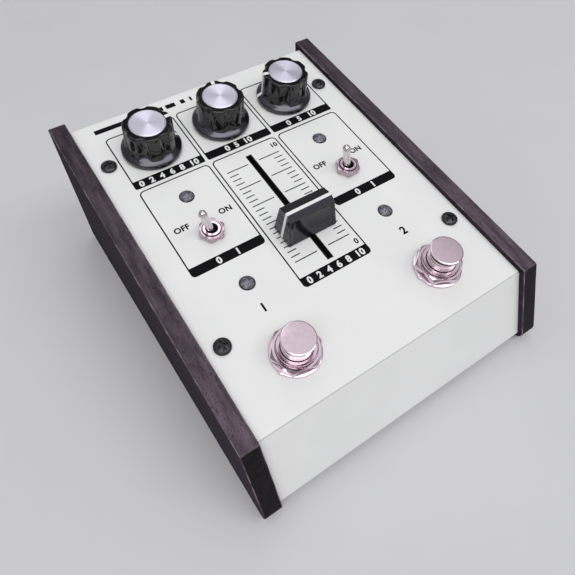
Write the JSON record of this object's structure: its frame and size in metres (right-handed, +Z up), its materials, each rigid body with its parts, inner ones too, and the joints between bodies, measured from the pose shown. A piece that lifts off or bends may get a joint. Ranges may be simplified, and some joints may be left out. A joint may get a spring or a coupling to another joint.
{
  "type": "delay effect pedal",
  "caption": "Desktop delay pedal: sloped white metal case between dark wooden cheeks, with turning knobs, a slider, toggle switches, press-down footswitches and lamps.",
  "frame": {"origin": "on the table under the middle of the pedal's overall box", "axes": "+X to the user's right, +Y from the footswitches to the back wall with the sockets, +Z up"},
  "size_m": [0.1122, 0.1412, 0.0617],
  "materials": {
    "panel_paint": "satin warm white paint",
    "tray_steel": "zinc-plated satin",
    "cheek_wood": "dark stained, satin",
    "black_screws": "satin black",
    "zinc_steel": "bright zinc",
    "foot_rubber": "matt",
    "nickel_plate": "satin nickel",
    "chrome_plate": "polished",
    "knob_black": "gloss black",
    "disc_aluminium": "spun",
    "white_line": "white",
    "slider_black": "satin black",
    "lamp_clear": "clear, unlit",
    "black_plastic": "matt black",
    "board_green": "solder mask",
    "capacitor_sleeve": "dark sleeve",
    "cable_grey": "matt grey",
    "pin_brass": "nickelled brass"
  },
  "bodies": {
    "case": {"top_cover": "panel_paint", "base_tray": "tray_steel", "left_cheek": "cheek_wood", "right_cheek": "cheek_wood", "cheek_screws": "zinc_steel", "panel_screws": "black_screws", "rubber_feet": "foot_rubber", "foot_screws": "zinc_steel", "left_pot": "tray_steel", "middle_pot": "tray_steel", "right_pot": "tray_steel", "pot_nuts": "nickel_plate", "pot_washers": "nickel_plate", "slide_pot": "tray_steel", "left_toggle": "nickel_plate", "right_toggle": "nickel_plate", "toggle_nuts": "chrome_plate", "toggle_washers": "chrome_plate", "left_footswitch": "nickel_plate", "right_footswitch": "nickel_plate", "left_spring": "zinc_steel", "right_spring": "zinc_steel", "footswitch_nuts": "chrome_plate", "footswitch_locknuts": "nickel_plate", "footswitch_washers": "chrome_plate", "upper_left_lamp": "lamp_clear", "upper_right_lamp": "lamp_clear", "lower_left_lamp": "lamp_clear", "lower_right_lamp": "lamp_clear", "lamp_spacers": "black_plastic", "circuit_board": "board_green", "board_chips": "black_plastic", "board_capacitors": "capacitor_sleeve", "flat_cables": "cable_grey", "input_jack": "black_plastic", "output_jack": "black_plastic", "jack_nuts": "nickel_plate", "jack_washers": "nickel_plate", "dc_socket": "black_plastic", "dc_pin": "pin_brass"},
    "left_knob_set": {"left_knob": "knob_black", "left_disc": "disc_aluminium", "left_pointer": "white_line", "left_shaft": "zinc_steel"},
    "middle_knob_set": {"middle_knob": "knob_black", "middle_disc": "disc_aluminium", "middle_pointer": "white_line", "middle_shaft": "zinc_steel"},
    "right_knob_set": {"right_knob": "knob_black", "right_disc": "disc_aluminium", "right_pointer": "white_line", "right_shaft": "zinc_steel"},
    "slider": {"slider_cap": "slider_black", "slider_line": "white_line", "slide_lever": "zinc_steel"},
    "left_switch_lever": {"left_lever": "chrome_plate"},
    "left_press": {"left_button": "chrome_plate"},
    "right_switch_lever": {"right_lever": "chrome_plate"},
    "right_press": {"right_button": "chrome_plate"}
  },
  "joints": [
    {"name": "left_knob_turn", "type": "hinge", "parent": "case", "child": "left_knob_set", "pos_m": [-0.028, 0.04441, 0.04829], "axis": [0, -0.184, 0.9829], "range_deg": [-60, 240]},
    {"name": "middle_knob_turn", "type": "hinge", "parent": "case", "child": "middle_knob_set", "pos_m": [0, 0.04441, 0.04829], "axis": [0, -0.184, 0.9829], "range_deg": [-141, 159]},
    {"name": "right_knob_turn", "type": "hinge", "parent": "case", "child": "right_knob_set", "pos_m": [0.028, 0.04441, 0.04829], "axis": [0, -0.184, 0.9829], "range_deg": [-221, 79]},
    {"name": "slider_slide", "type": "slide", "parent": "case", "child": "slider", "axis": [0, 0.9829, 0.184], "range_m": [-0.0117, 0.0333]},
    {"name": "left_toggle_tilt", "type": "hinge", "parent": "case", "child": "left_switch_lever", "pos_m": [-0.0276, 0.00253, 0.04106], "axis": [0, 0.9829, 0.184], "range_deg": [0, 27]},
    {"name": "right_toggle_tilt", "type": "hinge", "parent": "case", "child": "right_switch_lever", "pos_m": [0.0276, 0.00253, 0.04106], "axis": [0, 0.9829, 0.184], "range_deg": [0, 27]},
    {"name": "left_button_press", "type": "slide", "parent": "case", "child": "left_press", "axis": [0, 0.184, -0.9829], "range_m": [0, 0.0025], "stiffness_N_per_m": 2000, "springref_m": -0.002, "deforming": ["left_spring"]},
    {"name": "right_button_press", "type": "slide", "parent": "case", "child": "right_press", "axis": [0, 0.184, -0.9829], "range_m": [0, 0.0025], "stiffness_N_per_m": 2000, "springref_m": -0.002, "deforming": ["right_spring"]}
  ]
}
